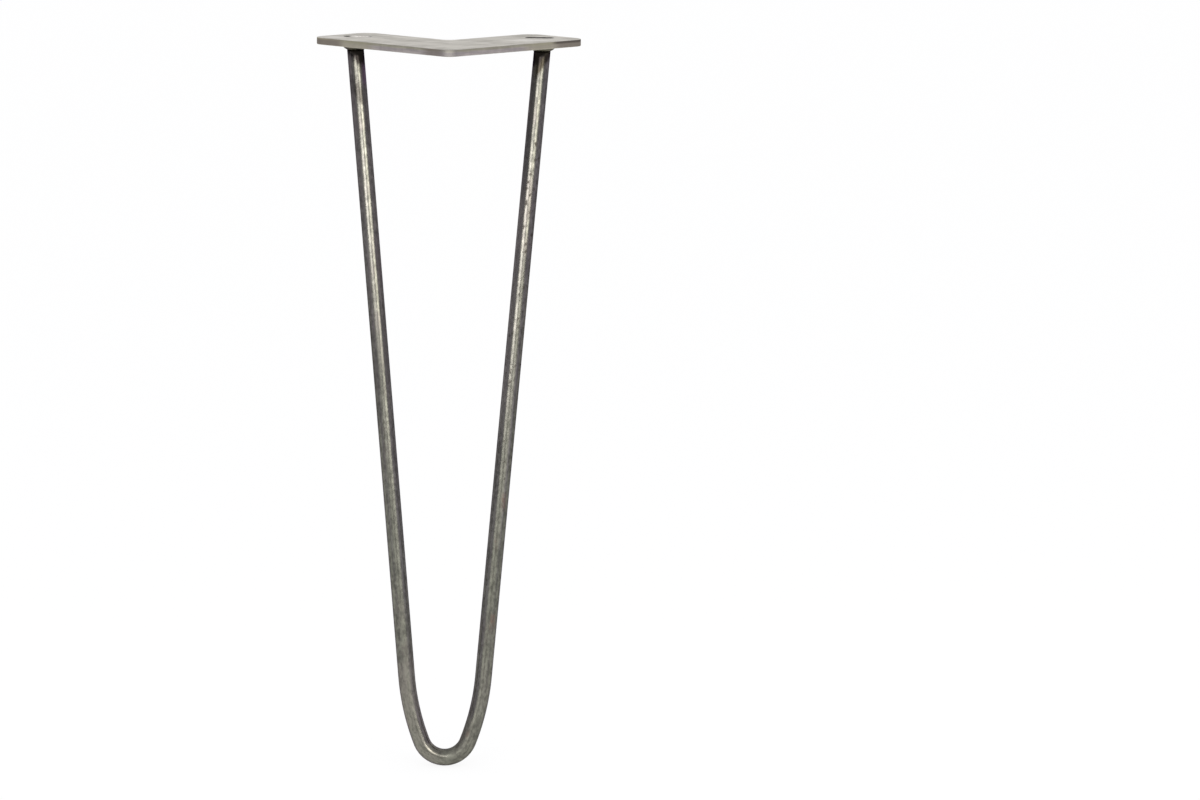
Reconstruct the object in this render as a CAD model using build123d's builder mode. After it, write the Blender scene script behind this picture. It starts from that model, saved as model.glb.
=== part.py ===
from build123d import *
import os
from math import asin, atan2, cos, degrees, radians, sin, sqrt, tan

# Hairpin table leg: one round steel bar bent into a long narrow loop and welded under an L-shaped plate.
# Millimetres, +Z up. The top of the plate, which meets the table, is at z = 0.
# The origin is where the mid-lines of the plate's two arms cross.
# The outer corner of the plate points to -Y, and the two runs of the bar stand left and right of it along X.

# The leg as a whole
leg_height = 406.0  # from the table's underside to the floor
splay_angle = 8.0  # lean of the loop from upright, out towards the corner of the table

# Mounting plate, cut from sheet
plate_thickness = 4.0
arm_length = 111.0  # along the outer edge, from the sharp outer corner
arm_width = 45.0
outer_corner_radius = 6.0
inner_corner_radius = 5.0
arm_end_radius = 9.0
edge_rounding = 0.5

# Screw slots, one on the mid-line of each arm, both running along X
slot_length = 16.0
slot_width = 6.5
slot_end_inset = 15.7  # from the end of the arm to the middle of the slot

# Hairpin rod
rod_diameter = 9.5
rod_end_inset = 27.3  # from the end of the arm to the middle of the bar
foot_radius = 14.0  # tight bend at the floor, to the middle of the bar
foot_half_turn = 68.5  # how far the tight bend goes to each side of the lowest point
shoulder_radius = 132.0  # wide bend that carries each side over into its straight run

# Weld beads round the top of the bar
weld_reach = 2.2  # out from the bar, along the plate
weld_drop = 1.7  # down the bar
weld_crown = 1.5  # reach that is left halfway down
weld_toe = 0.25  # thickness of the bead where it ends on the bar
weld_edge_margin = 2.05  # bare plate between the bead and the arm's outer edge

# Places that follow from the sizes above
half_width = arm_width / 2
arm_tip = arm_length - half_width
slot_reach = arm_tip - slot_end_inset
rod_radius = rod_diameter / 2
seat_along = arm_tip - rod_end_inset
seat_across = rod_radius + weld_reach + weld_edge_margin - half_width
seat_x = (seat_along - seat_across) / sqrt(2)
seat_y = (seat_along + seat_across) / sqrt(2)
plate_plane = Plane.XY.rotated((0, 0, 45))  # its axes are the mid-lines of the arms
underside = Plane.XY.offset(-plate_thickness)

# The loop lies in a leaning plane whose origin is the middle of the bar at the lowest point.
splay = radians(splay_angle)
loop_rise = (leg_height - rod_radius - plate_thickness) / cos(splay)
loop_plane = Plane(
    origin=(0, seat_y - loop_rise * sin(splay), rod_radius - leg_height),
    x_dir=(1, 0, 0),
    z_dir=(0, -cos(splay), sin(splay)),
)

# Each straight run is the tangent from its seat under the plate to the wide bend, which sets its slant.
half_turn = radians(foot_half_turn)
bend_out = Vector(sin(half_turn), -cos(half_turn))
shoulder_centre = Vector(0, foot_radius) - bend_out * (shoulder_radius - foot_radius)
seat_offset = Vector(seat_x, loop_rise) - shoulder_centre
rod_slant = atan2(seat_offset.X, seat_offset.Y) - asin(shoulder_radius / seat_offset.length)
straight_run = sqrt(seat_offset.length**2 - shoulder_radius**2)
shoulder_turn = 90 - degrees(rod_slant) - foot_half_turn

os.makedirs("parts", exist_ok=True)

# Mounting plate
with BuildPart() as mounting_plate:
    with BuildSketch(plate_plane):
        with BuildLine():
            FilletPolyline(
                (-half_width, -half_width),
                (arm_tip, -half_width),
                (arm_tip, half_width),
                (half_width, half_width),
                (half_width, arm_tip),
                (-half_width, arm_tip),
                radius=[
                    outer_corner_radius,
                    arm_end_radius,
                    arm_end_radius,
                    inner_corner_radius,
                    arm_end_radius,
                    arm_end_radius,
                ],
                close=True,
            )
        make_face()
    extrude(amount=-plate_thickness)
    rims = mounting_plate.faces().filter_by(Axis.Z).edges()
    fillet(rims, radius=edge_rounding)
    with BuildSketch(plate_plane):
        with Locations((slot_reach, 0), (0, slot_reach)):
            SlotOverall(slot_length, slot_width, rotation=-45)
    extrude(amount=-plate_thickness, mode=Mode.SUBTRACT)
mounting_plate.part.label = "mounting_plate"
export_step(mounting_plate.part, "parts/mounting_plate.step")

# Hairpin rod, bent from one bar and cut flush to sit flat against the plate
with BuildPart() as hairpin_rod:
    with BuildLine(loop_plane) as loop:
        foot = JernArc((0, 0), (1, 0), foot_radius, foot_half_turn)
        shoulder = JernArc(foot @ 1, foot % 1, shoulder_radius, shoulder_turn)
        PolarLine(shoulder @ 1, straight_run + rod_diameter, direction=shoulder % 1)
        mirror(about=Plane.YZ)
    with BuildSketch(Plane(loop.wire() @ 0, z_dir=loop.wire() % 0)):
        Circle(rod_radius)
    sweep(path=loop.wire())
    split(bisect_by=underside, keep=Keep.BOTTOM)
hairpin_rod.part.label = "hairpin_rod"
export_step(hairpin_rod.part, "parts/hairpin_rod.step")

# Weld beads: rings that follow the slanting bar down from the plate and swell a little between their two toes
inward_slope = tan(rod_slant) / cos(splay)
outward_slope = tan(splay)
bead_rings = [(0, weld_reach), (weld_drop / 2, weld_crown), (weld_drop, weld_toe)]

for name, side in (("left_weld_bead", -1), ("right_weld_bead", 1)):
    with BuildPart() as weld_bead:
        for drop, reach in bead_rings:
            with BuildSketch(underside.offset(-drop)):
                with Locations((side * (seat_x - drop * inward_slope), seat_y - drop * outward_slope)):
                    Circle(rod_radius + reach)
        loft()
        add(hairpin_rod.part, mode=Mode.SUBTRACT)
    weld_bead.part.label = name
    export_step(weld_bead.part, f"parts/{name}.step")
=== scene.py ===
# %% [markdown]
# # A hairpin table leg in bare steel
# The leg is one round bar, bent into a long narrow loop and welded under an L-shaped plate.
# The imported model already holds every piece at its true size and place, so it is loaded first and stays
# as it is. All that follows is made in metres in that same frame: +Z is up, the top of the plate is z = 0,
# and the plate's outer corner points to -Y, towards the camera.

# %% Load the frame
import math

import bmesh
import bpy
from mathutils import Matrix, Vector


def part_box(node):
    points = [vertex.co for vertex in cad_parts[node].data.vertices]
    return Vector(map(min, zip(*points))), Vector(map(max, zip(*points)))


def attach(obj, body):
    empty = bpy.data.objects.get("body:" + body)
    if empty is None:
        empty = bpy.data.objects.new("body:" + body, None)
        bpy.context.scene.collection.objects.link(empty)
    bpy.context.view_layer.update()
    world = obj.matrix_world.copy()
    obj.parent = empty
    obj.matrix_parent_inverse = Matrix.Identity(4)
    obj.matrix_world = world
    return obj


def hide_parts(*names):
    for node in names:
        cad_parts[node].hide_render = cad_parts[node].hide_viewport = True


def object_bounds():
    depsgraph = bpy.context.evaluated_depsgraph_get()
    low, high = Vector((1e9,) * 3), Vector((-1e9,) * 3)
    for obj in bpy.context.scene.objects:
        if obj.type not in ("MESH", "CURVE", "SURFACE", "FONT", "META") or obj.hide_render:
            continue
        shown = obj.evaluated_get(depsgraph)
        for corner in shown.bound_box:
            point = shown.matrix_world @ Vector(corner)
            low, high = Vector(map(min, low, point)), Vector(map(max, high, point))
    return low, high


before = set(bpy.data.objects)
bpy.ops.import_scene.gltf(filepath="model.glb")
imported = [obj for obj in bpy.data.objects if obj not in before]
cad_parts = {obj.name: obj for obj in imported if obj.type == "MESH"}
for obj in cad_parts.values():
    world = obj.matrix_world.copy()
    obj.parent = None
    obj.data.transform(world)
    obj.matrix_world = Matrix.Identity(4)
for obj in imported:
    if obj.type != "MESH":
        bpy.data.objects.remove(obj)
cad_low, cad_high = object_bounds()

mm = 0.001
floor_level = cad_low.z
print("nodes:", sorted(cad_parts))
print("leg height:", round((cad_high.z - floor_level) / mm, 1), "mm")

# %% [markdown]
# ## Camera
# The leg is seen from the front and a little from above, from far off with a long lens, so that its lines
# hardly converge. A camera could be given three angles, but it is easier to think of where it stands and
# then how it is turned: it stands straight in front of the plate's outer corner, turns right so that the leg
# sits left of the middle, looks down to take in the whole leg, and is rolled a little over half a degree.

# %% Camera
arm_width = 45 * mm
outer_corner = Vector((0, -arm_width / math.sqrt(2), 0))
camera_distance = 3.0
camera_rise = math.radians(5.161)
turn_right = math.radians(1.639)
look_down = math.radians(8.838)
roll = math.radians(0.604)
lens = 162.6

camera_data = bpy.data.cameras.new("camera")
camera_data.lens = lens
camera = bpy.data.objects.new("camera", camera_data)
bpy.context.scene.collection.objects.link(camera)
stand = outer_corner + camera_distance * Vector((0, -math.cos(camera_rise), math.sin(camera_rise)))
facing = (
    Matrix.Rotation(-turn_right, 4, "Z")
    @ Matrix.Rotation(math.pi / 2 - look_down, 4, "X")
    @ Matrix.Rotation(roll, 4, "Z")
)
camera.matrix_world = Matrix.Translation(stand) @ facing
bpy.context.scene.camera = camera
bpy.context.scene.view_settings.view_transform = "Standard"
print("camera at", [round(c, 3) for c in stand], "lens", lens, "mm")

# %% [markdown]
# ## White surroundings
# Bare metal has no colour of its own to speak of: it shows what stands around it, tinted by the steel.
# So the surroundings come before the metal. Both are made of shader nodes. Nodes could be laid out by hand
# in the editor, but in a script a few small helpers keep them readable: each adds a node
# and returns the output that the next one needs.

# %% Node helpers
def set_socket(tree, socket, value):
    """Link a socket to another node's output, or set it to a plain value."""
    if isinstance(value, bpy.types.NodeSocket):
        tree.links.new(value, socket)
    else:
        socket.default_value = value


def add(tree, kind, **inputs):
    """Add a node and set its inputs by name."""
    node = tree.nodes.new("ShaderNode" + kind)
    for name, value in inputs.items():
        set_socket(tree, node.inputs[name.replace("_", " ")], value)
    return node


def calculate(tree, operation, *values):
    """Add a Math node and return its result."""
    node = add(tree, "Math")
    node.operation = operation
    for socket, value in zip(node.inputs, values):
        set_socket(tree, socket, value)
    return node.outputs["Value"]


def smooth_step(tree, value, low, high, to_low=0.0, to_high=1.0):
    """Go smoothly from to_low to to_high as the value goes from low to high."""
    step = add(tree, "MapRange", Value=value, From_Min=low, From_Max=high, To_Min=to_low, To_Max=to_high)
    step.interpolation_type = "SMOOTHSTEP"
    return step.outputs["Result"]


def mix_colours(tree, share, under, over):
    """Lay the second colour over the first by a share."""
    mix = add(tree, "Mix")
    mix.data_type = "RGBA"
    for index, value in ((0, share), (6, under), (7, over)):
        set_socket(tree, mix.inputs[index], (*value, 1) if isinstance(value, tuple) else value)
    return mix.outputs[2]


print("node helpers ready")

# %% [markdown]
# The world is white round the horizon and greyer overhead. The camera and the reflections see it
# at strength 1. Its plain light is stronger, to make up for the grey overhead, so that a matt colour
# comes out about as it is written. A picture of a studio could be wrapped round the scene instead,
# but two colours are easier to tune.

# %% World
plain_light = 1.45
white = (1, 1, 1)
overhead_grey = (0.57, 0.565, 0.59)
grey_from = 0.35
grey_to = 0.9


def split(tree, vector):
    """Return a vector in its three parts."""
    return add(tree, "SeparateXYZ", Vector=vector).outputs


def seen_directly(tree):
    """Return 1 for rays from the camera or off a glossy or clear surface, and 0 for plain light."""
    rays = add(tree, "LightPath").outputs
    seen = calculate(tree, "MAXIMUM", rays["Is Camera Ray"], rays["Is Glossy Ray"])
    return calculate(tree, "MAXIMUM", seen, rays["Is Transmission Ray"])


world = bpy.data.worlds.new("white_room")
world.use_nodes = True
tree = world.node_tree
background = tree.nodes["Background"]
upward = split(tree, add(tree, "TexCoord").outputs["Generated"])["Z"]
overhead = smooth_step(tree, upward, grey_from, grey_to)
tree.links.new(mix_colours(tree, overhead, white, overhead_grey), background.inputs["Color"])
strength = calculate(tree, "MULTIPLY_ADD", seen_directly(tree), 1 - plain_light, plain_light)
tree.links.new(strength, background.inputs["Strength"])
bpy.context.scene.world = world
print("plain light of the world:", plain_light)

# %% [markdown]
# The floor and the cards of the studio are flat sheets. They are made alike, so two helpers come first.
# A sheet starts as a grid of one square, and a matrix puts it in place in its mesh.

# %% Studio sheets
def start_paint(name):
    """Start a studio material with an empty node tree, and return both."""
    paint = bpy.data.materials.new(name)
    paint.use_nodes = True
    paint.node_tree.nodes.clear()
    return paint, paint.node_tree


def flat_sheet(name, width, height, place, paint):
    """Make a flat sheet for the studio."""
    bm = bmesh.new()
    bmesh.ops.create_grid(bm, x_segments=1, y_segments=1, size=0.5)
    bmesh.ops.scale(bm, vec=(width, height, 1), verts=bm.verts)
    bmesh.ops.transform(bm, matrix=place, verts=bm.verts)
    mesh = bpy.data.meshes.new(name)
    bm.to_mesh(mesh)
    bm.free()
    mesh.materials.append(paint)
    sheet = bpy.data.objects.new(name, mesh)
    bpy.context.scene.collection.objects.link(sheet)
    print(name, "measures", round(width, 2), "by", round(height, 2), "m")
    return sheet


print("studio helpers ready")

# %% [markdown]
# A matt white floor alone would come out uneven under the lamps. So the floor also glows: the camera sees it
# as almost pure white, while a part of it stays an ordinary matt surface, so that the leg's shadow
# still falls on it. In the reflections it grows dimmer away from the leg.

# %% Floor
floor_size = 60.0
floor_glow = 0.85
floor_matt = (0.9, 0.9, 0.9)
dim_from = 0.5
dim_to = 1.5
dim_share = 0.62


def object_place(tree):
    """Return the place of a point. Every object sits at the origin, so it is a place in the frame."""
    return add(tree, "TexCoord").outputs["Object"]


def length_of(tree, vector):
    """Return the length of a vector."""
    node = add(tree, "VectorMath", Vector=vector)
    node.operation = "LENGTH"
    return node.outputs["Value"]


paint, tree = start_paint("white_floor")
glow_share = calculate(tree, "MULTIPLY", seen_directly(tree), floor_glow)
matt = add(tree, "BsdfDiffuse", Color=(*floor_matt, 1))
dimmed = smooth_step(tree, length_of(tree, object_place(tree)), dim_from, dim_to, 1.0, dim_share)
glow_strength = calculate(tree, "MAXIMUM", dimmed, add(tree, "LightPath").outputs["Is Camera Ray"])
glow = add(tree, "Emission", Color=(*white, 1), Strength=glow_strength)
both = add(tree, "MixShader", Fac=glow_share)
tree.links.new(matt.outputs["BSDF"], both.inputs[1])
tree.links.new(glow.outputs["Emission"], both.inputs[2])
add(tree, "OutputMaterial", Surface=both.outputs["Shader"])
flat_sheet("floor", floor_size, floor_size, Matrix.Translation((0, 0, floor_level)), paint)
print("floor at", round(floor_level, 4), "m")

# %% [markdown]
# ## Lamps
# The upper half of the bar carries two bright stripes, side by side: the reflections of two soft lamps
# in front, one to each side of the camera, with a narrow gap between them. Their lower edge is about level
# with the plate, so the stripes fade out halfway down, where the bar reflects what is under the lamps.
# The right lamp is a little warmer. A lamp's power spreads over its face, so it is worked out
# from how bright the face should be.

# %% Lamps
lamp_radiance = 3.55
power_factor = 4  # watts for each square metre of an area lamp of radiance 1
left_colour = (1.0, 0.965, 1.0)
right_colour = (1.0, 0.965, 0.93)
lamp_reach = 1.2
lamp_bottom = 0.02
lamp_top = 0.36
lamp_middle = 0.1
lamp_inner = 0.1
lamp_outer = 0.8
lamp_level = (lamp_bottom + lamp_top) / 2


def soft_lamp(name, place, aim, width, height, colour):
    """Make a rectangular lamp that faces a point and that the camera doesn't see."""
    data = bpy.data.lights.new(name, "AREA")
    data.shape = "RECTANGLE"
    data.size = width
    data.size_y = height
    data.energy = lamp_radiance * power_factor * width * height
    data.color = colour
    lamp = bpy.data.objects.new(name, data)
    bpy.context.scene.collection.objects.link(lamp)
    turn = (Vector(aim) - Vector(place)).to_track_quat("-Z", "Y")
    lamp.matrix_world = Matrix.Translation(place) @ turn.to_matrix().to_4x4()
    lamp.visible_camera = False
    print(name, "power", round(data.energy, 2), "W")


for side, name, colour in ((-1, "left_softbox", left_colour), (1, "right_softbox", right_colour)):
    across = lamp_middle + side * (lamp_inner + lamp_outer) / 2
    place = (across, -lamp_reach, lamp_level)
    aim = (across, 0, lamp_level)
    soft_lamp(name, place, aim, lamp_outer - lamp_inner, lamp_top - lamp_bottom, colour)

# %% [markdown]
# ## Dim walls
# In an all-white room a round bar loses its edges. Dark cards beside shiny metal are the usual way to give it
# back a dark outline, and two dim purple-grey walls do that here. The left one is darker towards the top,
# and both are almost white low down at the front. Only reflections see them.
# They stand far off on the white floor, so a side of the bar that leans down shows the floor,
# and one that leans up shows the wall.

# %% Dim walls
wall_distance = 2.0
wall_back = 1.6
wall_top = 0.9
top_colour_from = 0.42
pale = (0.9, 0.87, 0.95)
pale_front_from = -1.7
pale_front_to = -1.0
pale_low_from = -0.15
pale_low_to = 0.0
walls = (
    # side, name, front end, colour at the foot and colour at the top
    (-1, "left_wall", -2.5, (0.65, 0.61, 0.74), (0.33, 0.31, 0.38)),
    (1, "right_wall", -2.1, (0.55, 0.51, 0.66), (0.58, 0.53, 0.65)),
)


def dim_card(name, width, height, place, paint):
    """Make a sheet that only reflections see: it casts no shadow, and no camera sees it."""
    card = flat_sheet(name, width, height, place, paint)
    card.visible_camera = False
    card.visible_diffuse = False
    card.visible_shadow = False


def glow_in(tree, colour):
    """Let a studio material glow in a colour, and nothing else."""
    glow = add(tree, "Emission", Color=colour, Strength=1.0)
    add(tree, "OutputMaterial", Surface=glow.outputs["Emission"])


for side, name, wall_front, foot_colour, top_colour in walls:
    paint, tree = start_paint(name)
    spot = split(tree, object_place(tree))
    shade = smooth_step(tree, spot["Z"], floor_level, top_colour_from)
    colour = mix_colours(tree, shade, foot_colour, top_colour)
    at_front = smooth_step(tree, spot["Y"], pale_front_from, pale_front_to, 1.0, 0.0)
    low_down = smooth_step(tree, spot["Z"], pale_low_from, pale_low_to, 1.0, 0.0)
    glow_in(tree, mix_colours(tree, calculate(tree, "MULTIPLY", at_front, low_down), colour, pale))
    middle = Vector((side * wall_distance, (wall_front + wall_back) / 2, (floor_level + wall_top) / 2))
    place = Matrix.Translation(middle) @ Matrix.Rotation(math.pi / 2, 4, "Y")
    dim_card(name, wall_top - floor_level, wall_back - wall_front, place, paint)

# %% [markdown]
# What stands behind a camera shows up in shiny metal too, here as a slightly darker line down the middle
# of the bar, where the lamps no longer outshine it. A grey card with soft sides stands in for that.

# %% Card behind the camera
card_width = 0.7
card_height = 1.0
card_colour = (0.5, 0.49, 0.48)
card_core = 0.2  # half the width that is fully grey
card_behind = 0.5
paint, tree = start_paint("grey_card")
from_core = calculate(tree, "ABSOLUTE", split(tree, object_place(tree))["X"])
to_side = smooth_step(tree, from_core, card_core, card_width / 2)
glow_in(tree, mix_colours(tree, to_side, card_colour, white))
card_middle = Vector((0, stand.y - card_behind, floor_level + card_height / 2))
place = Matrix.Translation(card_middle) @ Matrix.Rotation(math.pi / 2, 4, "X")
dim_card("grey_card", card_width, card_height, place, paint)
print("grey card at", round(card_middle.y, 2), "m")

# %% [markdown]
# ## A helper for finished pieces
# Each piece below is modelled in a bmesh, Blender's editable mesh, and then handed to this helper.
# It merges points that lie on one another, turns the faces outwards, writes the mesh, and says
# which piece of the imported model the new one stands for.

# %% Finished pieces
hair = 0.001 * mm  # points closer than this count as one


def finished_piece(bm, name, node):
    """Make an object of a bmesh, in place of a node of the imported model."""
    bmesh.ops.remove_doubles(bm, verts=bm.verts, dist=hair)
    bmesh.ops.recalc_face_normals(bm, faces=bm.faces)
    for face in bm.faces:
        face.smooth = True
    triangles = len(bm.calc_loop_triangles())
    mesh = bpy.data.meshes.new(name)
    bm.to_mesh(mesh)
    bm.free()
    piece = bpy.data.objects.new(name, mesh)
    bpy.context.scene.collection.objects.link(piece)
    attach(piece, "root")
    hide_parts(node)
    print(name, "stands for", node, "with", triangles, "triangles")
    return piece


print("pieces to make:", len(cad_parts))

# %% [markdown]
# ## The bent bar
# The real loop starts as a straight drawn bar. It gets one tight bend at the foot and a wide, gentle one
# on each side, and the two runs go straight up to the plate. A curve object with a round bevel would draw
# that too, but a spin shows how such a bar is bent: a ring of points is swung round the middle of each bend
# in turn. It is drawn lying flat, with its lowest point at the origin, and tipped into place afterwards.
# The middle of each weld bead in the frame says where the bar meets the plate.

# %% Sizes of the loop
rod_radius = 4.75 * mm
foot_radius = 14 * mm
foot_half_turn = math.radians(68.5)
shoulder_radius = 132 * mm
splay = math.radians(8)

bead_low, bead_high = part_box("right_weld_bead")
seat = Vector(((bead_low.x + bead_high.x) / 2, (bead_low.y + bead_high.y) / 2, bead_high.z))
loop_rise = (seat.z - floor_level - rod_radius) / math.cos(splay)
lowest = Vector((0, seat.y - loop_rise * math.sin(splay), floor_level + rod_radius))
tip_into_place = Matrix.Translation(lowest) @ Matrix.Rotation(math.pi / 2 - splay, 4, "X")

foot_centre = Vector((0, foot_radius, 0))
bend_end = Vector((math.sin(foot_half_turn), -math.cos(foot_half_turn), 0))
shoulder_centre = foot_centre - bend_end * (shoulder_radius - foot_radius)
to_seat = Vector((seat.x, loop_rise, 0)) - shoulder_centre
slant = math.atan2(to_seat.x, to_seat.y) - math.asin(shoulder_radius / to_seat.length)
straight_run = math.sqrt(to_seat.length_squared - shoulder_radius**2)
shoulder_turn = math.pi / 2 - slant - foot_half_turn
run_direction = Vector((math.sin(slant), math.cos(slant), 0))
run_outward = Vector((math.cos(slant), -math.sin(slant), 0))
run_start = shoulder_centre + run_outward * shoulder_radius
foot_length = foot_radius * foot_half_turn
shoulder_length = shoulder_radius * shoulder_turn
half_length = foot_length + shoulder_length + straight_run
print("the bar is", round(2 * half_length / mm), "mm long")
print("its runs slant", round(math.degrees(slant), 2), "degrees")

# %% [markdown]
# Half of the loop is enough: the ring starts at the lowest point, is spun round the foot, spun again round
# the shoulder, and extruded in a straight line past the plate.

# %% Bend the bar
ring_sides = 48
foot_steps = 20
shoulder_steps = 16
run_steps = 24


def edges_of(result):
    """Return the edges among the results of an operator."""
    return [e for e in result if isinstance(e, bmesh.types.BMEdge)]


bm = bmesh.new()
ring_upright = Matrix.Rotation(math.pi / 2, 4, "Y")
bmesh.ops.create_circle(bm, segments=ring_sides, radius=rod_radius, matrix=ring_upright)
last_edges = bm.edges[:]
bends = (
    (foot_centre, foot_half_turn, foot_steps),
    (shoulder_centre, shoulder_turn, shoulder_steps),
)
for centre, angle, steps in bends:
    bend = bmesh.ops.spin(bm, geom=last_edges, cent=centre, axis=(0, 0, 1), angle=angle, steps=steps)
    last_edges = edges_of(bend["geom_last"])
run_step = (straight_run + 2 * rod_radius) / run_steps
for step in range(run_steps):
    pulled = bmesh.ops.extrude_edge_only(bm, edges=last_edges)["geom"]
    pulled_verts = [v for v in pulled if isinstance(v, bmesh.types.BMVert)]
    bmesh.ops.translate(bm, vec=run_direction * run_step, verts=pulled_verts)
    last_edges = [e for e in edges_of(pulled) if all(v in pulled_verts for v in e.verts)]
print("half of the loop has", len(bm.faces), "faces")

# %% [markdown]
# The half is tipped into place, and the plate's underside cuts it off. The cut is filled, as the end
# of a solid bar is, and a mirror makes the left half.

# %% Cut and mirror the bar
bmesh.ops.transform(bm, matrix=tip_into_place, verts=bm.verts)
cut = bmesh.ops.bisect_plane(
    bm,
    geom=bm.verts[:] + bm.edges[:] + bm.faces[:],
    plane_co=(0, 0, seat.z),
    plane_no=(0, 0, 1),
    clear_outer=True,
)
bmesh.ops.contextual_create(bm, geom=edges_of(cut["geom_cut"]))
bmesh.ops.mirror(bm, geom=bm.verts[:] + bm.edges[:] + bm.faces[:], merge_dist=hair, axis="X")
print("the loop has", len(bm.faces), "faces")

# %% [markdown]
# Drawing the bar left fine marks along it, and they were bent with it. A pattern on plain coordinates would
# cut straight through the bends, so each point stores where it was while the bar was still straight:
# how far along from the middle, and its two offsets from the bar's axis. The finish reads that later.
# The direction round the bar is stored too, because such lengthwise marks blur a reflection mostly sideways.

# %% Remember the straight bar
straight_bar = bm.verts.layers.float_vector.new("straight_bar")
round_the_bar = bm.verts.layers.float_vector.new("round_the_bar")
lay_flat = tip_into_place.inverted()
turn_upright = tip_into_place.to_3x3()


def along_the_bar(point):
    """Return how far along the right half a point lies, the turn of the bar there, and how far out it is."""
    foot_angle = math.atan2(point.x, foot_radius - point.y)
    if foot_angle <= foot_half_turn:
        out = (point - foot_centre).xy.length - foot_radius
        return foot_radius * foot_angle, foot_angle, out
    from_centre = point - shoulder_centre
    angle = math.atan2(from_centre.x, -from_centre.y)
    if angle <= foot_half_turn + shoulder_turn:
        out = from_centre.xy.length - shoulder_radius
        return foot_length + shoulder_radius * (angle - foot_half_turn), angle, out
    from_start = point - run_start
    along = foot_length + shoulder_length + from_start.dot(run_direction)
    return along, math.pi / 2 - slant, from_start.dot(run_outward)


for vert in bm.verts:
    flat = lay_flat @ vert.co
    side = -1 if flat.x < 0 else 1
    along, angle, out = along_the_bar(Vector((abs(flat.x), flat.y, flat.z)))
    vert[straight_bar] = (side * along, out, flat.z)
    outward = Vector((side * math.sin(angle), -math.cos(angle), 0)) * out + Vector((0, 0, flat.z))
    run = Vector((math.cos(angle), side * math.sin(angle), 0))
    vert[round_the_bar] = (turn_upright @ run.cross(outward)).normalized()
bent_bar = finished_piece(bm, "bent_bar", "hairpin_rod")

# %% [markdown]
# ## The plate
# The plate is cut from 4 mm sheet: an L of two equal arms, with a small radius at the outer corner
# and larger ones at the ends of the arms. The points of the rounds could be worked out one by one,
# but six corner points and a vertex bevel at each give the same outline.

# %% Outline of the plate
arm_length = 111 * mm
half_width = arm_width / 2
arm_tip = arm_length - half_width
outer_radius = 6 * mm
inner_radius = 5 * mm
end_radius = 9 * mm
corner_steps = 12
outline = [
    (-half_width, -half_width, outer_radius),
    (arm_tip, -half_width, end_radius),
    (arm_tip, half_width, end_radius),
    (half_width, half_width, inner_radius),
    (half_width, arm_tip, end_radius),
    (-half_width, arm_tip, end_radius),
]


def round_off(bm, geom, affect, radius, steps):
    """Bevel corners or edges to a round of a radius."""
    bmesh.ops.bevel(
        bm,
        geom=geom,
        offset=radius,
        offset_type="OFFSET",
        affect=affect,
        segments=steps,
        profile=0.5,
        material=-1,
    )


bm = bmesh.new()
corners = [bm.verts.new((x, y, 0)) for x, y, radius in outline]
bm.faces.new(corners)
for corner, (x, y, radius) in zip(corners, outline):
    round_off(bm, [corner], "VERTICES", radius, corner_steps)
bmesh.ops.rotate(bm, matrix=Matrix.Rotation(math.pi / 4, 3, "Z"), verts=bm.verts)
print("the outline has", len(bm.verts), "points")

# %% [markdown]
# The outline is extruded while its face is still whole, because a bevel along a rim comes out clean there.
# The rims are only just rounded, but a rim with no round at all would catch no light.

# %% Thickness and rims
plate_low, plate_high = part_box("mounting_plate")
thickness = plate_high.z - plate_low.z
rim_rounding = 0.5 * mm
rim_steps = 4
lower = bmesh.ops.extrude_face_region(bm, geom=bm.faces[:], use_keep_orig=True)["geom"]
lower_verts = [v for v in lower if isinstance(v, bmesh.types.BMVert)]
bmesh.ops.translate(bm, vec=(0, 0, -thickness), verts=lower_verts)
bmesh.ops.recalc_face_normals(bm, faces=bm.faces)
rims = [e for e in bm.edges if abs(e.verts[0].co.z - e.verts[1].co.z) < hair]
round_off(bm, rims, "EDGES", rim_rounding, rim_steps)
print("the plate is", round(thickness / mm, 2), "mm thick and has", len(bm.faces), "faces")

# %% [markdown]
# The two screw slots are rings of points, pulled apart into slots. Each gets a ring on both faces and two
# just inside, a little smaller, so that its rims are broken and catch the light. A boolean would cut
# the slots too, but with rings every point of a rim is known.

# %% Rings for the slots
slot_length = 16 * mm
slot_width = 6.5 * mm
slot_inset = 15.7 * mm
slot_rim = 0.25 * mm
slot_sides = 48
slot_place = (arm_tip - slot_inset) / math.sqrt(2)


def slot_ring(bm, side, level, grow):
    """Make a ring the size of a slot, bigger all round by grow, and return its edges."""
    half_step = Matrix.Rotation(math.pi / slot_sides, 4, "Z")
    ring = bmesh.ops.create_circle(bm, segments=slot_sides, radius=slot_width / 2 + grow, matrix=half_step)
    for vert in ring["verts"]:
        vert.co.x += math.copysign((slot_length - slot_width) / 2, vert.co.x)
    bmesh.ops.translate(bm, vec=(side * slot_place, slot_place, level), verts=ring["verts"])
    return list(dict.fromkeys(e for v in ring["verts"] for e in v.link_edges))


def open_ring(bm, side, level):
    """Return the edges of the opening that a face has on one side of the plate."""
    open_edges = [e for e in bm.edges if e.is_boundary and e.verts[0].co.x * side > 0]
    return [e for e in open_edges if all(abs(v.co.z - level) < hair for v in e.verts)]


print("the slots lie", round(slot_place / mm, 1), "mm to each side of the middle")

# %% [markdown]
# The whole faces are deleted and filled again around the rings, and bridges between the rings make
# the walls. Weighted normals keep the flat faces flat in the shading.

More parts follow.
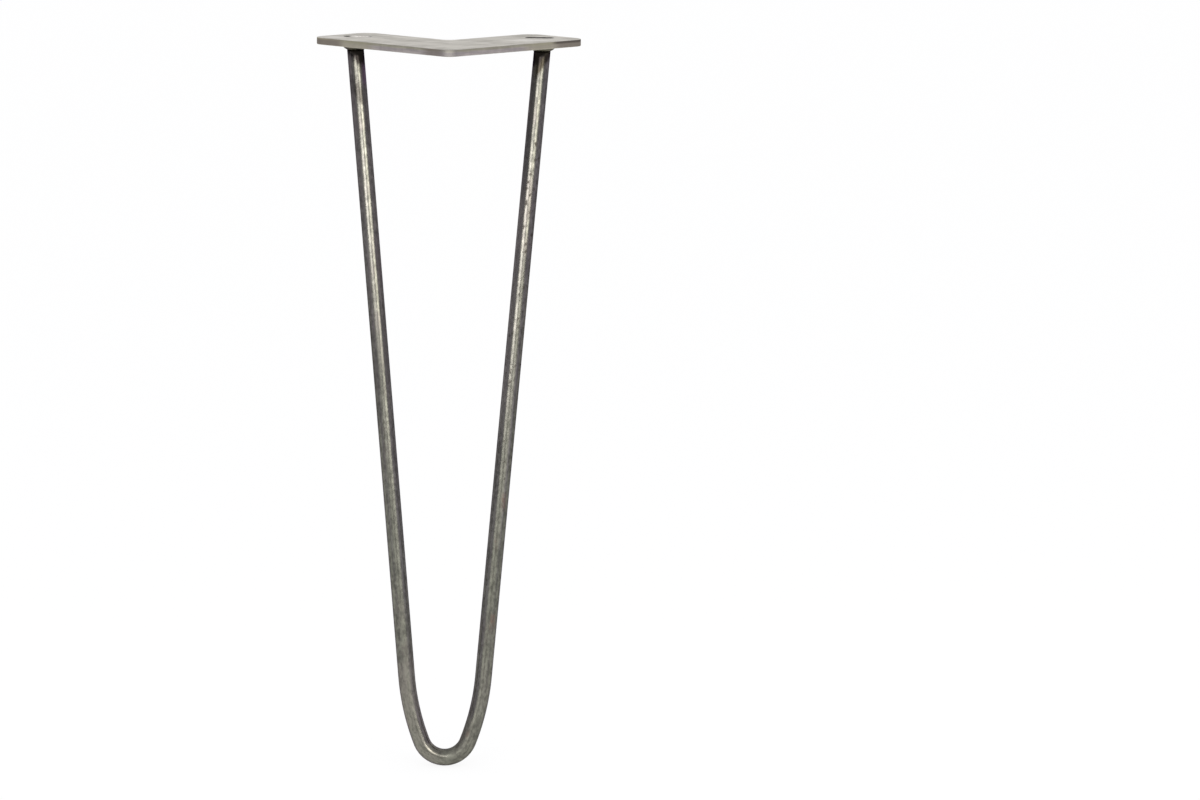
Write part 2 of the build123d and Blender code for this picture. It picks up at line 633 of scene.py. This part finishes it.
# %% Cut the slots
for level in (0, -thickness):
    whole = [f for f in bm.faces if abs(f.calc_center_median().z - level) < hair and len(f.verts) > 4]
    border = [e for f in whole for e in f.edges]
    bmesh.ops.delete(bm, geom=whole, context="FACES_ONLY")
    for side in (-1, 1):
        border += slot_ring(bm, side, level, slot_rim)
    bmesh.ops.triangle_fill(bm, use_beauty=True, edges=border, normal=(0, 0, 1 if level == 0 else -1))
    print("face at", round(level / mm, 1), "mm filled round its slots")
for side in (-1, 1):
    rings = [
        open_ring(bm, side, 0),
        slot_ring(bm, side, -slot_rim, 0),
        slot_ring(bm, side, slot_rim - thickness, 0),
        open_ring(bm, side, -thickness),
    ]
    for upper_ring, lower_ring in zip(rings, rings[1:]):
        bmesh.ops.bridge_loops(bm, edges=upper_ring + lower_ring)
cut_plate = finished_piece(bm, "cut_plate", "mounting_plate")
keep_flat = cut_plate.modifiers.new("keep_flat", "WEIGHTED_NORMAL")
keep_flat.keep_sharp = True

# %% [markdown]
# ## The welds
# Each end of the bar is held by a ring of weld metal, which fills the corner between the bar and the plate.
# A torus is a ring too, but its section is a circle. So the ring gets a profile of its own: flat against
# the plate, sunk a little into the bar, and slightly swollen on its open side.

# %% Profile of a weld
weld_reach = (bead_high.x - bead_low.x) / 2 - rod_radius
weld_drop = bead_high.z - bead_low.z
weld_toe = 0.3 * mm
weld_sink = 0.3 * mm
weld_swell = 0.25 * mm
weld_sag = 0.1 * mm
profile_steps = 4


def weld_profile():
    """Return the outline of a bead: how far each point is out from the bar, and how far it is up."""
    outline = [(-weld_sink, 0), (weld_reach, 0)]
    for step in range(1, profile_steps):
        down = step / profile_steps
        swell = math.sin(math.pi * down)
        reach = weld_toe + (weld_reach - weld_toe) * (1 - down) + weld_swell * swell
        outline.append((reach, -weld_drop * down - weld_sag * swell))
    return outline + [(weld_toe, -weld_drop), (-weld_sink, -weld_drop)]


print("a weld profile has", len(weld_profile()), "points")

# %% [markdown]
# Weld metal is laid in short pulses, so a bead has ripples all the way round. They could be a bump
# in the finish, but they also show in the bead's outline, so its outer points are moved in and out.
# Sines of a few waves per turn make the pace and the width uneven, as a hand does.

# %% Ripples of a weld
ripple_count = 19
ripple_depth = 0.22 * mm
ripple_slant = 0.12
ripple_middle = 0.6
uneven_pace = 0.35
slow_wander = 0.5
quick_wander = 0.35


def ripple(vert, side):
    """Move a point of a bead in or out, the more the further it is from the bar."""
    around = math.atan2(vert.co.y, vert.co.x)
    reach = vert.co.xy.length - rod_radius
    if reach > 0:
        lean = around + uneven_pace * math.sin(3 * around + side) - ripple_slant * vert.co.z / weld_drop
        pulse = abs(math.sin(ripple_count * lean / 2)) - ripple_middle
        wander = slow_wander * math.sin(2 * around + 1.3 * side) + quick_wander * math.sin(5 * around)
        grow = ripple_depth * (pulse + wander) * reach / weld_reach
        vert.co.xy *= 1 + grow / vert.co.xy.length


print("ripples round a bead:", ripple_count)

# %% [markdown]
# The profile is spun a full turn round the bar and rippled. The bar leaves the plate at a slant,
# so the ring is then sheared to follow it.

# %% Weld beads
weld_steps = 144
inward_slope = math.tan(slant) / math.cos(splay)
outward_slope = math.tan(splay)


def weld_bead(side):
    """Model one bead at the origin, ripple it, shear it along the bar and put it under the plate."""
    bm = bmesh.new()
    verts = [bm.verts.new((rod_radius + reach, 0, rise)) for reach, rise in weld_profile()]
    edges = [bm.edges.new(pair) for pair in zip(verts, verts[1:] + verts[:1])]
    bmesh.ops.spin(
        bm,
        geom=verts + edges,
        cent=(0, 0, 0),
        axis=(0, 0, 1),
        angle=2 * math.pi,
        steps=weld_steps,
        use_merge=True,
    )
    for vert in bm.verts:
        ripple(vert, side)
    follow_bar = Matrix.Identity(4)
    follow_bar[0][2] = side * inward_slope
    follow_bar[1][2] = outward_slope
    bmesh.ops.transform(bm, matrix=follow_bar, verts=bm.verts)
    bmesh.ops.translate(bm, vec=(side * seat.x, seat.y, seat.z), verts=bm.verts)
    return bm


left_weld = finished_piece(weld_bead(-1), "left_weld", "left_weld_bead")
right_weld = finished_piece(weld_bead(1), "right_weld", "right_weld_bead")

# %% [markdown]
# ## Helpers for the finishes
# Every finish starts as bare metal, reads noises on stretched coordinates, covers some stretches with other
# colours, and ends with a colour, a roughness and a fine relief. A helper for each keeps the finishes short.

# %% Helpers for the finishes
def bare_metal(name, edge_tint):
    """Start a metal material. The edge tint is how it reflects at a glancing angle."""
    material = bpy.data.materials.new(name)
    material.use_nodes = True
    shader = material.node_tree.nodes["Principled BSDF"]
    shader.inputs["Metallic"].default_value = 1.0
    shader.inputs["Specular Tint"].default_value = (*edge_tint, 1)
    return material, material.node_tree, shader


def stretched_noise(tree, place, stretch, detail=3.0, shift=(0, 0, 0)):
    """Return a noise whose features are 1/stretch metres long in each direction."""
    mapping = add(tree, "Mapping", Vector=place, Scale=stretch, Location=shift)
    noise = add(tree, "TexNoise", Vector=mapping.outputs["Vector"], Scale=1.0, Detail=detail, Roughness=0.6)
    return noise.outputs["Fac"]


def stretch_between(tree, value, low, high, fade):
    """Return 1 where the value lies between two limits and 0 outside them, with a soft step at each."""
    enter = smooth_step(tree, value, low - fade, low)
    leave = smooth_step(tree, value, high, high + fade, 1.0, 0.0)
    return calculate(tree, "MULTIPLY", enter, leave)


def product(tree, first, *others):
    """Multiply values one after another."""
    for value in others:
        first = calculate(tree, "MULTIPLY", first, value)
    return first


def give_finish(tree, shader, colour, roughness, relief, strength, depth):
    """Give the shader its colour, its roughness and a bump that follows a relief."""
    tree.links.new(colour, shader.inputs["Base Color"])
    tree.links.new(roughness, shader.inputs["Roughness"])
    bump = add(tree, "Bump", Strength=strength, Distance=depth, Height=relief)
    tree.links.new(bump.outputs["Normal"], shader.inputs["Normal"])


print("finish helpers ready")

# %% [markdown]
# ## Drawn bar steel
# The bar is bare steel with a thin, mottled olive-grey oxide, rubbed brighter along the drawing marks.
# A scratched image could be wrapped round it, but noise on the stored straight-bar places needs no unwrapping
# and has no seam. Long streaks, short flecks and fine grain are added up, and the sum sets how bright
# the steel is. Some larger patches are a little redder, and some clouds a little darker.

# %% Drawn bar steel
dark_oxide = (0.105, 0.104, 0.087)
rubbed_oxide = (0.25, 0.245, 0.203)
red_oxide = (0.168, 0.154, 0.137)
cloudy_oxide = (0.112, 0.113, 0.097)
rubbed_from = 1.15
rubbed_to = 1.85


def stored(tree, name):
    """Return a vector that the points of a mesh carry."""
    node = add(tree, "Attribute")
    node.attribute_name = name
    return node.outputs["Vector"]


bar_steel, tree, shader = bare_metal("drawn_bar_steel", edge_tint=(0.36, 0.33, 0.4))
bar_place = stored(tree, "straight_bar")
parts = split(tree, bar_place)
along = parts["X"]
outward = parts["Y"]
streaks = stretched_noise(tree, bar_place, (14, 1400, 1400))
flecks = stretched_noise(tree, bar_place, (200, 700, 700))
grain = stretched_noise(tree, bar_place, (450, 520, 520))
rubbed = calculate(tree, "ADD", calculate(tree, "ADD", streaks, flecks), grain)
colour = mix_colours(tree, smooth_step(tree, rubbed, rubbed_from, rubbed_to), dark_oxide, rubbed_oxide)
patches = stretched_noise(tree, bar_place, (40, 110, 110), detail=2.0)
colour = mix_colours(tree, smooth_step(tree, patches, 0.5, 0.65, 0.0, 0.6), colour, red_oxide)
clouds = stretched_noise(tree, bar_place, (60, 70, 70), detail=2.0, shift=(2, 5, 1))
colour = mix_colours(tree, smooth_step(tree, clouds, 0.45, 0.7, 0.0, 0.45), colour, cloudy_oxide)
print("oxide has", len(tree.nodes), "nodes")

# %% [markdown]
# The lower part of the bar, out of the lamps' shine, shows that the oxide is speckled and mottled in olive.
# One noise gives both the dark and the bright specks, because its highs and lows never meet,
# and a larger one does the same for the mottles.

# %% Specks and mottles
speckled_to = 190 * mm
plain_from = 260 * mm
from_foot = calculate(tree, "ABSOLUTE", along)
lower_part = smooth_step(tree, from_foot, speckled_to, plain_from, 1.0, 0.0)
specks = stretched_noise(tree, bar_place, (360, 700, 700), detail=2.0, shift=(7, 1, 3))
mottles = stretched_noise(tree, bar_place, (75, 120, 120), detail=2.0, shift=(4, 8, 2))
spots = (
    # noise, from, to, the share at each of these, and the colour
    (specks, 0.5, 0.65, 0.0, 0.5, (0.1, 0.105, 0.084)),
    (specks, 0.35, 0.5, 0.5, 0.0, (0.25, 0.26, 0.206)),
    (mottles, 0.5, 0.68, 0.0, 0.4, (0.225, 0.228, 0.19)),
    (mottles, 0.32, 0.5, 0.4, 0.0, (0.12, 0.122, 0.103)),
)
for noise, low, high, low_share, high_share, tone in spots:
    spotted = smooth_step(tree, noise, low, high, low_share, high_share)
    colour = mix_colours(tree, product(tree, lower_part, spotted), colour, tone)
print("with specks and mottles it has", len(tree.nodes), "nodes")

# %% [markdown]
# Painted highlights brighten the bar in places, where the lamps' stripes should lie: the right run along the
# inner side of its upper part and lower down along a line nearer its outer side, the left run along its outer
# side near the top and lower down along its middle and its inner side, and the right shoulder in a short
# streak.
# Painted shade darkens the inner side of the right run near the plate, and two spots on the left run.
# Both sides of the foot are warmer, the left one more, and four small smudges of rust lie on the right.
# The marks could be painted by hand. Here each is a stretch along the bar and a band across it,
# broken up by the specks or the grain, so that it can be moved by changing one row.

# %% Painted highlights and shade, warm tints and rust
# Painted highlight and painted shade: colours that brighten and darken the bar where the lamps' stripes
# should lie.
painted_highlight_steel = (0.31, 0.302, 0.258)
painted_shade_steel = (0.1, 0.097, 0.084)
warm_steel = (0.255, 0.238, 0.207)
rust = (0.2, 0.13, 0.1)
past_rim = 9  # mm from the axis, so that a band covers the bar to its edge
painted_light_and_tints = (
    # from, to and fade along the bar, from, to and fade outwards, all in mm, then the share and the colour
    (220, 320, 40, -past_rim, -1.6, 2.3, 0.38, painted_highlight_steel),
    (340, 390, 25, -past_rim, -1.9, 1.5, 0.35, painted_shade_steel),
    (150, 220, 40, 1.0, 2.2, 0.8, 0.5, painted_highlight_steel),
    (-330, -270, 40, 0.9, 1.9, 0.7, 0.45, painted_highlight_steel),
    (-205, -186, 12, -0.9, 0.7, 0.7, 0.22, painted_highlight_steel),
    (-195, -105, 20, -2.2, -1.0, 0.7, 0.2, painted_highlight_steel),
    (-312, -288, 12, -2.2, -1.0, 0.6, 0.28, painted_shade_steel),
    (-278, -252, 12, -0.5, 0.5, 0.6, 0.25, painted_shade_steel),
    (-58, -7, 10, -past_rim, past_rim, 1.0, 0.4, warm_steel),
    (10, 48, 10, -past_rim, past_rim, 1.0, 0.08, warm_steel),
    (34, 62, 6, -0.6, 1.4, 1.0, 0.3, painted_highlight_steel),
)
rust_smudges = (
    (152, 156, 5, 1.2, 2.8, 1.0, 1.0, rust),
    (129, 132, 4, -0.6, 0.6, 0.8, 0.5, rust),
    (85, 88, 5, 1.2, 2.8, 1.0, 1.0, rust),
    (20, 23, 2, -2.2, -1.2, 0.6, 0.5, rust),
)
broken_band = smooth_step(tree, specks, 0.36, 0.64, 1.5, 0.5)
broken_rust = smooth_step(tree, grain, 0.4, 0.6, 0.2, 0.65)
# The rows lay painted highlights, painted shade, warm tints and rust over the colour of the bar.
for marks, broken in ((painted_light_and_tints, broken_band), (rust_smudges, broken_rust)):
    for start, end, end_fade, inner, outer, side_fade, share, tone in marks:
        stretch = stretch_between(tree, along, start * mm, end * mm, end_fade * mm)
        band = stretch_between(tree, outward, inner * mm, outer * mm, side_fade * mm)
        colour = mix_colours(tree, product(tree, stretch, band, share, broken), colour, tone)
print("rubbed places:", len(painted_light_and_tints), "rust smudges:", len(rust_smudges))

# %% [markdown]
# Small dark pits crowd together on the upper part of the right run, larger ones among finer ones.
# They could be modelled, but they are finer than the mesh. Each cell of a Voronoi pattern draws a lot
# that says whether it holds a pit, and the grain makes the outlines uneven.

# %% Pits
pit_brown = (0.06, 0.051, 0.042)
pit_core = 0.08
pit_rim = 0.36
crowd_fade = 30 * mm


def pits_in(stretch, low, high, chance, strength):
    """Return how dark a pit is at each place. The stretch sets the size of the cells, as for a noise."""
    cell_place = add(tree, "Mapping", Vector=bar_place, Scale=stretch).outputs["Vector"]
    cells = add(tree, "TexVoronoi", Vector=cell_place, Scale=1.0)
    lot = add(tree, "SeparateColor", Color=cells.outputs["Color"]).outputs["Red"]
    crowded = stretch_between(tree, along, low, high, crowd_fade)
    holds_pit = calculate(tree, "LESS_THAN", lot, calculate(tree, "MULTIPLY", crowded, chance))
    uneven = calculate(tree, "SUBTRACT", grain, 0.5)
    from_middle = calculate(tree, "ADD", cells.outputs["Distance"], uneven)
    return product(tree, holds_pit, smooth_step(tree, from_middle, pit_core, pit_rim, strength, 0.0))


large_pits = pits_in((230, 380, 380), 235 * mm, 335 * mm, chance=0.4, strength=0.75)
fine_pits = pits_in((420, 650, 650), 180 * mm, 310 * mm, chance=0.35, strength=0.6)
pits = calculate(tree, "MAXIMUM", large_pits, fine_pits)
colour = mix_colours(tree, pits, colour, pit_brown)
print("with pits it has", len(tree.nodes), "nodes")

# %% [markdown]
# Heat has coloured the bar near the welds. The first of its marks is a thin, patchy, smoky film
# that crosses the left run about 25 mm down. All these marks go by how far a place is from the end
# of the bar, and the streaks and the grain make that distance ragged.

# %% Smoky film
raggedness = 8 * mm
smoke_grey = (0.062, 0.057, 0.048)
smoke_from = 21.5 * mm
smoke_to = 27 * mm
smoke_fade = 5 * mm
smoke_share = 0.95
patchiness = 30 * mm
inner_flank = -3.2 * mm
outer_flank = 3.4 * mm

on_left = smooth_step(tree, along, -mm, mm, 1.0, 0.0)
ragged = calculate(tree, "MULTIPLY_ADD", calculate(tree, "ADD", streaks, grain), -raggedness, raggedness)
from_end = calculate(tree, "SUBTRACT", half_length, from_foot)
from_end = calculate(tree, "ADD", from_end, ragged)
patchy = calculate(tree, "SUBTRACT", patches, 0.5)
patchy_end = calculate(tree, "MULTIPLY_ADD", patchy, patchiness, from_end)
smoke = product(
    tree,
    stretch_between(tree, patchy_end, smoke_from, smoke_to, smoke_fade),
    smooth_step(tree, outward, inner_flank, -1.6 * mm, 0.0, smoke_share),
    smooth_step(tree, outward, 2 * mm, outer_flank, 1.0, 0.5),
    smooth_step(tree, flecks, 0.35, 0.62, 0.65, 1.0),
    on_left,
)
colour = mix_colours(tree, smoke, colour, smoke_grey)
print("smoke from", round(smoke_from / mm, 1), "to", round(smoke_to / mm, 1), "mm down the left run")

# %% [markdown]
# Nearer the welds the bar is straw brown on the right run, and only faintly so on the left one.
# This mark and those that follow reach further down on the inner side of a run than on its outer side,
# so what lies further out counts as further from the end. That longer reach on the inner side, where the
# plate overhangs more, is painted shade.

# %% Straw brown
straw_brown = (0.034, 0.029, 0.02)
straw_from = 11.5 * mm
straw_to = 16.5 * mm
right_straw = 0.95
left_straw = 0.15
flank_straw = 0.35
right_lag = 1.9  # how much further from the end each step outwards counts
left_lag = 1.3
lag_limit = -1.8 * mm

# The lag paints shade: the marks reach further down on the inner side, under more of the plate.
lag = calculate(tree, "MULTIPLY_ADD", on_left, left_lag - right_lag, right_lag)
lagging = calculate(tree, "MAXIMUM", outward, lag_limit)
heated_end = calculate(tree, "MULTIPLY_ADD", lagging, lag, from_end)
straw = product(
    tree,
    calculate(tree, "MULTIPLY_ADD", on_left, left_straw - right_straw, right_straw),
    smooth_step(tree, outward, inner_flank, -2 * mm, flank_straw, 1.0),
    smooth_step(tree, heated_end, straw_from, straw_to, 1.0, 0.0),
)
colour = mix_colours(tree, straw, colour, straw_brown)
print("straw reaches", round(straw_to / mm, 1), "mm down the right run")

# %% [markdown]
# The inner side of the left run is tinted purple, and right at the welds both runs are almost black.
# Both are heat tint, and partly painted shade under the plate.

# %% Purple and black
# Heat tint and painted shade on the inner side of the left run, under the plate.
purple_heat_and_shade = (0.134, 0.086, 0.134)
purple_from = 4 * mm
purple_to = 16 * mm
purple_fade = 8 * mm
purple_share = 0.7
# Heat scale and painted shade under the plate: almost black.
heat_scale_and_shade = (0.022, 0.019, 0.017)
black_from = 5 * mm
black_to = 10 * mm
left_black_extra = 1.9 * mm

purple = product(
    tree,
    on_left,
    smooth_step(tree, outward, inner_flank, -1.8 * mm, purple_share, 0.0),
    stretch_between(tree, heated_end, purple_from, purple_to, purple_fade),
)
colour = mix_colours(tree, purple, colour, purple_heat_and_shade)
blacked_end = calculate(tree, "MULTIPLY_ADD", on_left, -left_black_extra, heated_end)
black = smooth_step(tree, blacked_end, black_from, black_to, 1.0, 0.0)
colour = mix_colours(tree, black, colour, heat_scale_and_shade)
print("black reaches", round(black_to / mm, 1), "mm down the right run")

# %% [markdown]
# The same noises drive roughness and bump, so that a pit is dark, dull and low at once.
# The tight bend was pressed round a die, which rubbed the right side of it dull. The left side keeps
# its shine, up to the wide bend, which is a little duller again.

# %% Shine of the bar
sideways_blur = 0.3
oxide_roughness = 0.26
rubbed_roughness = 0.19
dulled = stretch_between(tree, along, 4 * mm, 27 * mm, 5 * mm)
brushed = stretch_between(tree, along, -90 * mm, -38 * mm, 10 * mm)
roughness = smooth_step(tree, rubbed, rubbed_from, rubbed_to, oxide_roughness, rubbed_roughness)
for mark, rougher in ((dulled, 0.3), (brushed, 0.12), (pits, 0.2)):
    roughness = calculate(tree, "MULTIPLY_ADD", mark, rougher, roughness)
relief = calculate(tree, "SUBTRACT", streaks, pits)
give_finish(tree, shader, colour, roughness, relief, strength=0.2, depth=0.02 * mm)
tree.links.new(stored(tree, "round_the_bar"), shader.inputs["Tangent"])
shader.inputs["Anisotropic"].default_value = sideways_blur
bent_bar.data.materials.append(bar_steel)
print("bar finish has", len(tree.nodes), "nodes")

# %% [markdown]
# ## Rolled sheet steel
# The plate's faces are paler: sheet that was rolled, then rubbed down lightly along each arm.
# The rub marks meet at the plate's middle line, so the finish folds the coordinates there and turns them
# by 45 degrees. Larger soft patches stay duller and more olive. A painted highlight lies on one patch in
# front of the right slot and on another at the end of the left arm.

# %% Rolled sheet steel
dull_sheet = (0.43, 0.416, 0.377)
worn_sheet = (0.69, 0.674, 0.634)
olive_sheet = (0.44, 0.411, 0.347)
highlight_sheet = (0.87, 0.852, 0.83)
# Painted highlights: patches of the sheet made brighter where light catches it.
painted_highlights = (
    # middle, reach along X and Y, and share
    (Vector((46 * mm, 34 * mm)), 17 * mm, 9 * mm, 0.8),
    (Vector((-66 * mm, 45 * mm)), 11 * mm, 9 * mm, 0.6),
)

sheet_steel, tree, shader = bare_metal("rolled_sheet_steel", edge_tint=(1.0, 0.978, 0.928))
plain = object_place(tree)
parts = split(tree, plain)
from_middle = calculate(tree, "ABSOLUTE", parts["X"])
folded = add(tree, "CombineXYZ", X=from_middle, Y=parts["Y"], Z=parts["X"]).outputs["Vector"]
turned = add(tree, "Mapping", Vector=folded, Rotation=(0, 0, -math.pi / 4)).outputs["Vector"]
rub_marks = stretched_noise(tree, turned, (22, 700, 5), detail=5.0)
patches = stretched_noise(tree, plain, (55, 55, 55))
grain = stretched_noise(tree, plain, (900, 900, 900), detail=2.0)
worn = calculate(tree, "MULTIPLY_ADD", patches, 0.8, rub_marks)
colour = mix_colours(tree, smooth_step(tree, worn, 0.65, 1.15), dull_sheet, worn_sheet)
colour = mix_colours(tree, smooth_step(tree, patches, 0.56, 0.72, 0.0, 0.5), colour, olive_sheet)
streaky = smooth_step(tree, rub_marks, 0.35, 0.6, 0.35, 1.0)
for middle, reach_x, reach_y, share in painted_highlights:
    patch_scale = (1 / reach_x, 1 / reach_y, 0)
    patch_shift = (-middle.x / reach_x, -middle.y / reach_y, 0)
    patch = add(tree, "Mapping", Vector=plain, Scale=patch_scale, Location=patch_shift).outputs["Vector"]
    highlight_share = smooth_step(tree, length_of(tree, patch), 0.2, 1.0, share, 0.0)
    colour = mix_colours(tree, product(tree, highlight_share, streaky), colour, highlight_sheet)
roughness = smooth_step(tree, worn, 0.6, 1.2, 0.6, 0.5)
relief = calculate(tree, "ADD", rub_marks, grain)
give_finish(tree, shader, colour, roughness, relief, strength=0.3, depth=0.02 * mm)
cut_plate.data.materials.append(sheet_steel)
print("sheet finish has", len(tree.nodes), "nodes")

# %% [markdown]
# ## The cut edge
# Sheet that is cut in a press has two bands along its edge: a smooth one, olive here, where the blade
# rubbed past, and below it a rougher, greyer one, where the steel tore. Noises that are stretched along
# the edge or across it give the scuffs and the scores, and a slow one makes the line between the bands wave.

# %% Cut edge
smooth_dark = (0.36, 0.35, 0.275)
smooth_bright = (0.45, 0.44, 0.345)
torn_dark = (0.4, 0.375, 0.36)
torn_bright = (0.51, 0.475, 0.45)

edge_steel, tree, shader = bare_metal("cut_edge_steel", edge_tint=(0.7, 0.66, 0.68))
plain = object_place(tree)
parts = split(tree, plain)
across = parts["X"]
level = parts["Z"]
from_middle = calculate(tree, "ABSOLUTE", across)
scores = stretched_noise(tree, plain, (300, 300, 60))
scuffs = stretched_noise(tree, plain, (70, 70, 1100))
waves = stretched_noise(tree, plain, (120, 120, 20))
torn_level = calculate(tree, "MULTIPLY_ADD", waves, 1.2 * mm, level)
torn = smooth_step(tree, torn_level, -1.3 * mm, -0.5 * mm, 1.0, 0.0)
fresh = smooth_step(tree, calculate(tree, "MULTIPLY_ADD", scores, 0.5, scuffs), 0.6, 0.9)
smooth_band = mix_colours(tree, fresh, smooth_dark, smooth_bright)
torn_band = mix_colours(tree, fresh, torn_dark, torn_bright)
colour = mix_colours(tree, torn, smooth_band, torn_band)
print("cut edge has", len(tree.nodes), "nodes")

# %% [markdown]
# The heat of the welds has coloured the edge too: straw beside the bar, and dark brown from there to the ends
# of the arms. A darker line runs along the top of the right end, and a painted highlight along the left end.
# The outer corner is painted darker, as painted shade against the lamps' glint, and a brown stain lies to the
# left of it.
# Each of these is a share that grows or fades along the edge, laid over the last.

# %% Stains of the edge
stain = product(tree, stretch_between(tree, across, -11 * mm, -6 * mm, 5 * mm), 0.65)
beside_bar = smooth_step(tree, from_middle, seat.x - 14 * mm, seat.x - 4 * mm, 0.0, 0.6)
beyond_bar = smooth_step(tree, from_middle, seat.x + 5 * mm, seat.x + 11 * mm, 0.0, 0.7)
# Painted shade at the outer corner, against the lamps' glint.
shaded_corner = smooth_step(tree, from_middle, 3 * mm, 7 * mm, 0.5, 0.0)
right_end = smooth_step(tree, across, seat.x + 4 * mm, seat.x + 9 * mm)
dark_line = product(tree, right_end, smooth_step(tree, level, -1.9 * mm, -1.0 * mm, 0.0, 0.7))
# Painted highlight along the top of the left end's edge.
left_end = smooth_step(tree, across, -seat.x - 20 * mm, -seat.x - 4 * mm, 1.0, 0.0)
painted_highlight_line = product(tree, left_end, smooth_step(tree, level, -1.2 * mm, -0.5 * mm, 0.0, 0.6))
edge_stains = (
    (stain, (0.23, 0.2, 0.17)),
    (beside_bar, (0.46, 0.445, 0.31)),
    (beyond_bar, (0.24, 0.21, 0.18)),
    (shaded_corner, (0.29, 0.275, 0.27)),
    (dark_line, (0.1, 0.088, 0.075)),
    (painted_highlight_line, (0.52, 0.49, 0.35)),
)
for share, tone in edge_stains:
    colour = mix_colours(tree, share, colour, tone)
roughness = smooth_step(tree, torn, 0.0, 1.0, 0.58, 0.65)
give_finish(tree, shader, colour, roughness, scores, strength=0.25, depth=0.04 * mm)
cut_plate.data.materials.append(edge_steel)
print("edge finish has", len(tree.nodes), "nodes and", len(edge_stains), "stains")

# %% [markdown]
# ## The walls of the slots
# The slots were burnt out, so their walls carry black scale, deepened by painted shade. The left one is
# painted pale, as painted light, and only its left end is still dark. One noise crusts the scale and the bare
# steel alike.

# %% Slot walls
# Black scale with painted shade for the slot walls, and pale painted light for the left slot.
scale_and_shade_crust = ((0.018, 0.016, 0.017), (0.05, 0.044, 0.042))
painted_lit_crust = ((0.6, 0.585, 0.55), (0.78, 0.765, 0.73))
slot_scale_and_shade, tree, shader = bare_metal("slot_scale_and_painted_shade", edge_tint=(0.5, 0.47, 0.5))
plain = object_place(tree)
across = split(tree, plain)["X"]
crust = stretched_noise(tree, plain, (700, 700, 250), detail=4.0)
crusted = smooth_step(tree, crust, 0.35, 0.7)
# Painted light: the left slot's walls are made pale, as if lit, except at its left end.
in_left_slot = calculate(tree, "ADD", across, slot_place)
on_left_arm = smooth_step(tree, across, -mm, mm, 1.0, 0.0)
painted_lit_share = product(tree, on_left_arm, smooth_step(tree, in_left_slot, -6 * mm, -3 * mm))
colour = mix_colours(
    tree,
    painted_lit_share,
    mix_colours(tree, crusted, *scale_and_shade_crust),
    mix_colours(tree, crusted, *painted_lit_crust),
)
roughness = smooth_step(tree, crust, 0.3, 0.7, 0.6, 0.45)
give_finish(tree, shader, colour, roughness, crust, strength=0.4, depth=0.05 * mm)
cut_plate.data.materials.append(slot_scale_and_shade)
print("slot finish has", len(tree.nodes), "nodes")

# %% [markdown]
# The plate is one mesh, so its three finishes are given to it face by face: faces that stand upright
# get the cut edge, and those of the slots get the scale, with their broken rims. The rest stay sheet.

# %% Finishes of the plate
edge_finish = 1
slot_finish = 2
upright_share = 0.7
chamfer_share = 0.9
slot_middles = [Vector((side * slot_place, slot_place)) for side in (-1, 1)]
slot_end = slot_length / 2 + 2 * slot_rim
for polygon in cut_plate.data.polygons:
    in_slot = any((polygon.center.xy - middle).length < slot_end for middle in slot_middles)
    if in_slot and abs(polygon.normal.z) < chamfer_share:
        polygon.material_index = slot_finish
    elif abs(polygon.normal.z) < upright_share:
        polygon.material_index = edge_finish
counts = [sum(p.material_index == index for p in cut_plate.data.polygons) for index in range(3)]
print("faces of the plate with sheet, edge and slot finish:", counts)

# %% [markdown]
# ## Weld metal
# Weld metal cools with a dark, scaly skin, in bands of darker and paler olive brown.
# The bands are a noise that is wide and flat, so they run round each bead, and a fine noise is the scale.
# Both read plain object coordinates, which have no seam.

# %% Weld metal
dark_weld = (0.06, 0.056, 0.042)
pale_weld = (0.14, 0.132, 0.092)
flaky_weld = (0.2, 0.19, 0.14)
weld_steel, tree, shader = bare_metal("scaled_weld_steel", edge_tint=(0.6, 0.55, 0.62))
plain = object_place(tree)
scale = stretched_noise(tree, plain, (900, 900, 900), detail=4.0)
bands = stretched_noise(tree, plain, (150, 150, 700), detail=2.0)
colour = mix_colours(tree, smooth_step(tree, bands, 0.4, 0.6), dark_weld, pale_weld)
colour = mix_colours(tree, smooth_step(tree, scale, 0.55, 0.7, 0.0, 0.6), colour, flaky_weld)
roughness = smooth_step(tree, scale, 0.3, 0.7, 0.55, 0.35)
give_finish(tree, shader, colour, roughness, scale, strength=0.5, depth=0.06 * mm)
for weld in (left_weld, right_weld):
    weld.data.materials.append(weld_steel)
print("weld finish on", left_weld.name, "and", right_weld.name)
